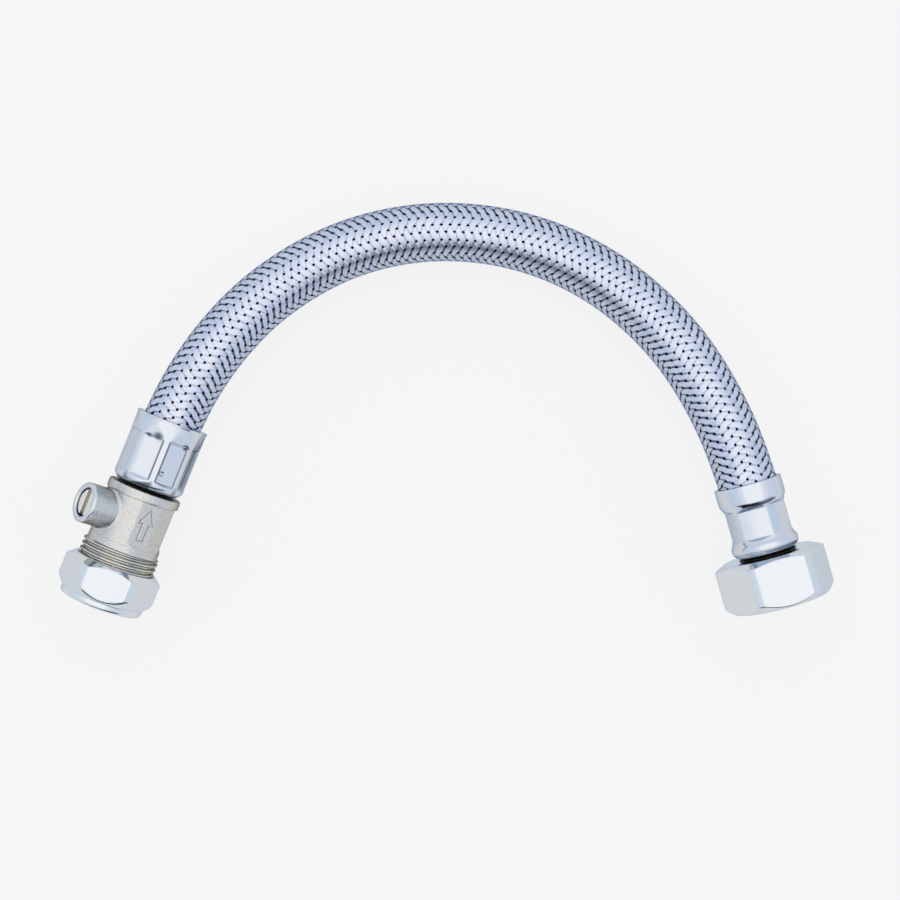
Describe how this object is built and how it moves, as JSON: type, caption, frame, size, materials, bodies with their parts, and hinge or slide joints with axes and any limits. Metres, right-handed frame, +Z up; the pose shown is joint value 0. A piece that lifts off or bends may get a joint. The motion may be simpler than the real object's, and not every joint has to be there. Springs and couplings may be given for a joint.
{
  "type": "isolating valve flexible connector",
  "caption": "Braided flexible water hose with a slotted isolating ball valve and compression joint at one end and a hexagonal swivel nut at the other.",
  "frame": {"origin": "on the surface that the part lies on, under the middle of the box round the two fittings, the hose left out", "axes": "+X from the valve to the swivel nut, +Y towards the arch of the hose, +Z up"},
  "size_m": [0.2618, 0.1413, 0.0342],
  "materials": {
    "chrome_nut": "bright chrome plate on brass, polished",
    "olive_brass": "plain turned brass",
    "nickel_body": "nickel-plated forged brass, satin, fine grain",
    "spindle_nickel": "nickel-plated turned brass",
    "ball_chrome": "chrome plate on brass, polished",
    "tail_brass": "plain turned brass",
    "ferrule_steel": "polished stainless steel",
    "braid_wire": "braided stainless wire",
    "hose_rubber": "black rubber",
    "seal_rubber": "black rubber, oiled",
    "washer_fibre": "dark sealing rubber",
    "seat_plastic": "white seat plastic"
  },
  "bodies": {
    "connector": {"valve_body": "nickel_body", "inlet_seat": "seat_plastic", "outlet_seat": "seat_plastic", "valve_hose_tail": "tail_brass", "valve_end_ferrule": "ferrule_steel", "hose_liner": "hose_rubber", "hose_braid": "braid_wire", "tap_end_ferrule": "ferrule_steel", "tap_hose_tail": "tail_brass", "tap_washer": "washer_fibre"},
    "spindle": {"spindle": "spindle_nickel", "ball": "ball_chrome", "spindle_thrust_washer": "seat_plastic", "spindle_oring_inner": "seal_rubber", "spindle_oring_outer": "seal_rubber"},
    "olive": {"olive": "olive_brass"},
    "compression_nut": {"compression_nut": "chrome_nut"},
    "swivel_nut": {"swivel_nut": "chrome_nut"}
  },
  "joints": [
    {"name": "valve_turn", "type": "hinge", "parent": "connector", "child": "spindle", "pos_m": [-0.10559, -0.00155, 0.01594], "axis": [-0.6938, 0.2789, 0.6639], "continuous": true},
    {"name": "nut_travel", "type": "slide", "parent": "connector", "child": "olive", "axis": [-0.373, -0.9278, 0], "range_m": [0, 0.006]},
    {"name": "nut_turn", "type": "hinge", "parent": "olive", "child": "compression_nut", "pos_m": [-0.1173, -0.03068, 0.01594], "axis": [-0.373, -0.9278, 0], "range_deg": [0, 1170]},
    {"name": "swivel_turn", "type": "hinge", "parent": "connector", "child": "swivel_nut", "pos_m": [0.1134, -0.03028, 0.017], "axis": [0.2773, -0.9608, 0], "continuous": true}
  ],
  "couplings": [
    {"joint": "nut_travel", "follows": "nut_turn", "m_per_rad": 0.00028871}
  ]
}
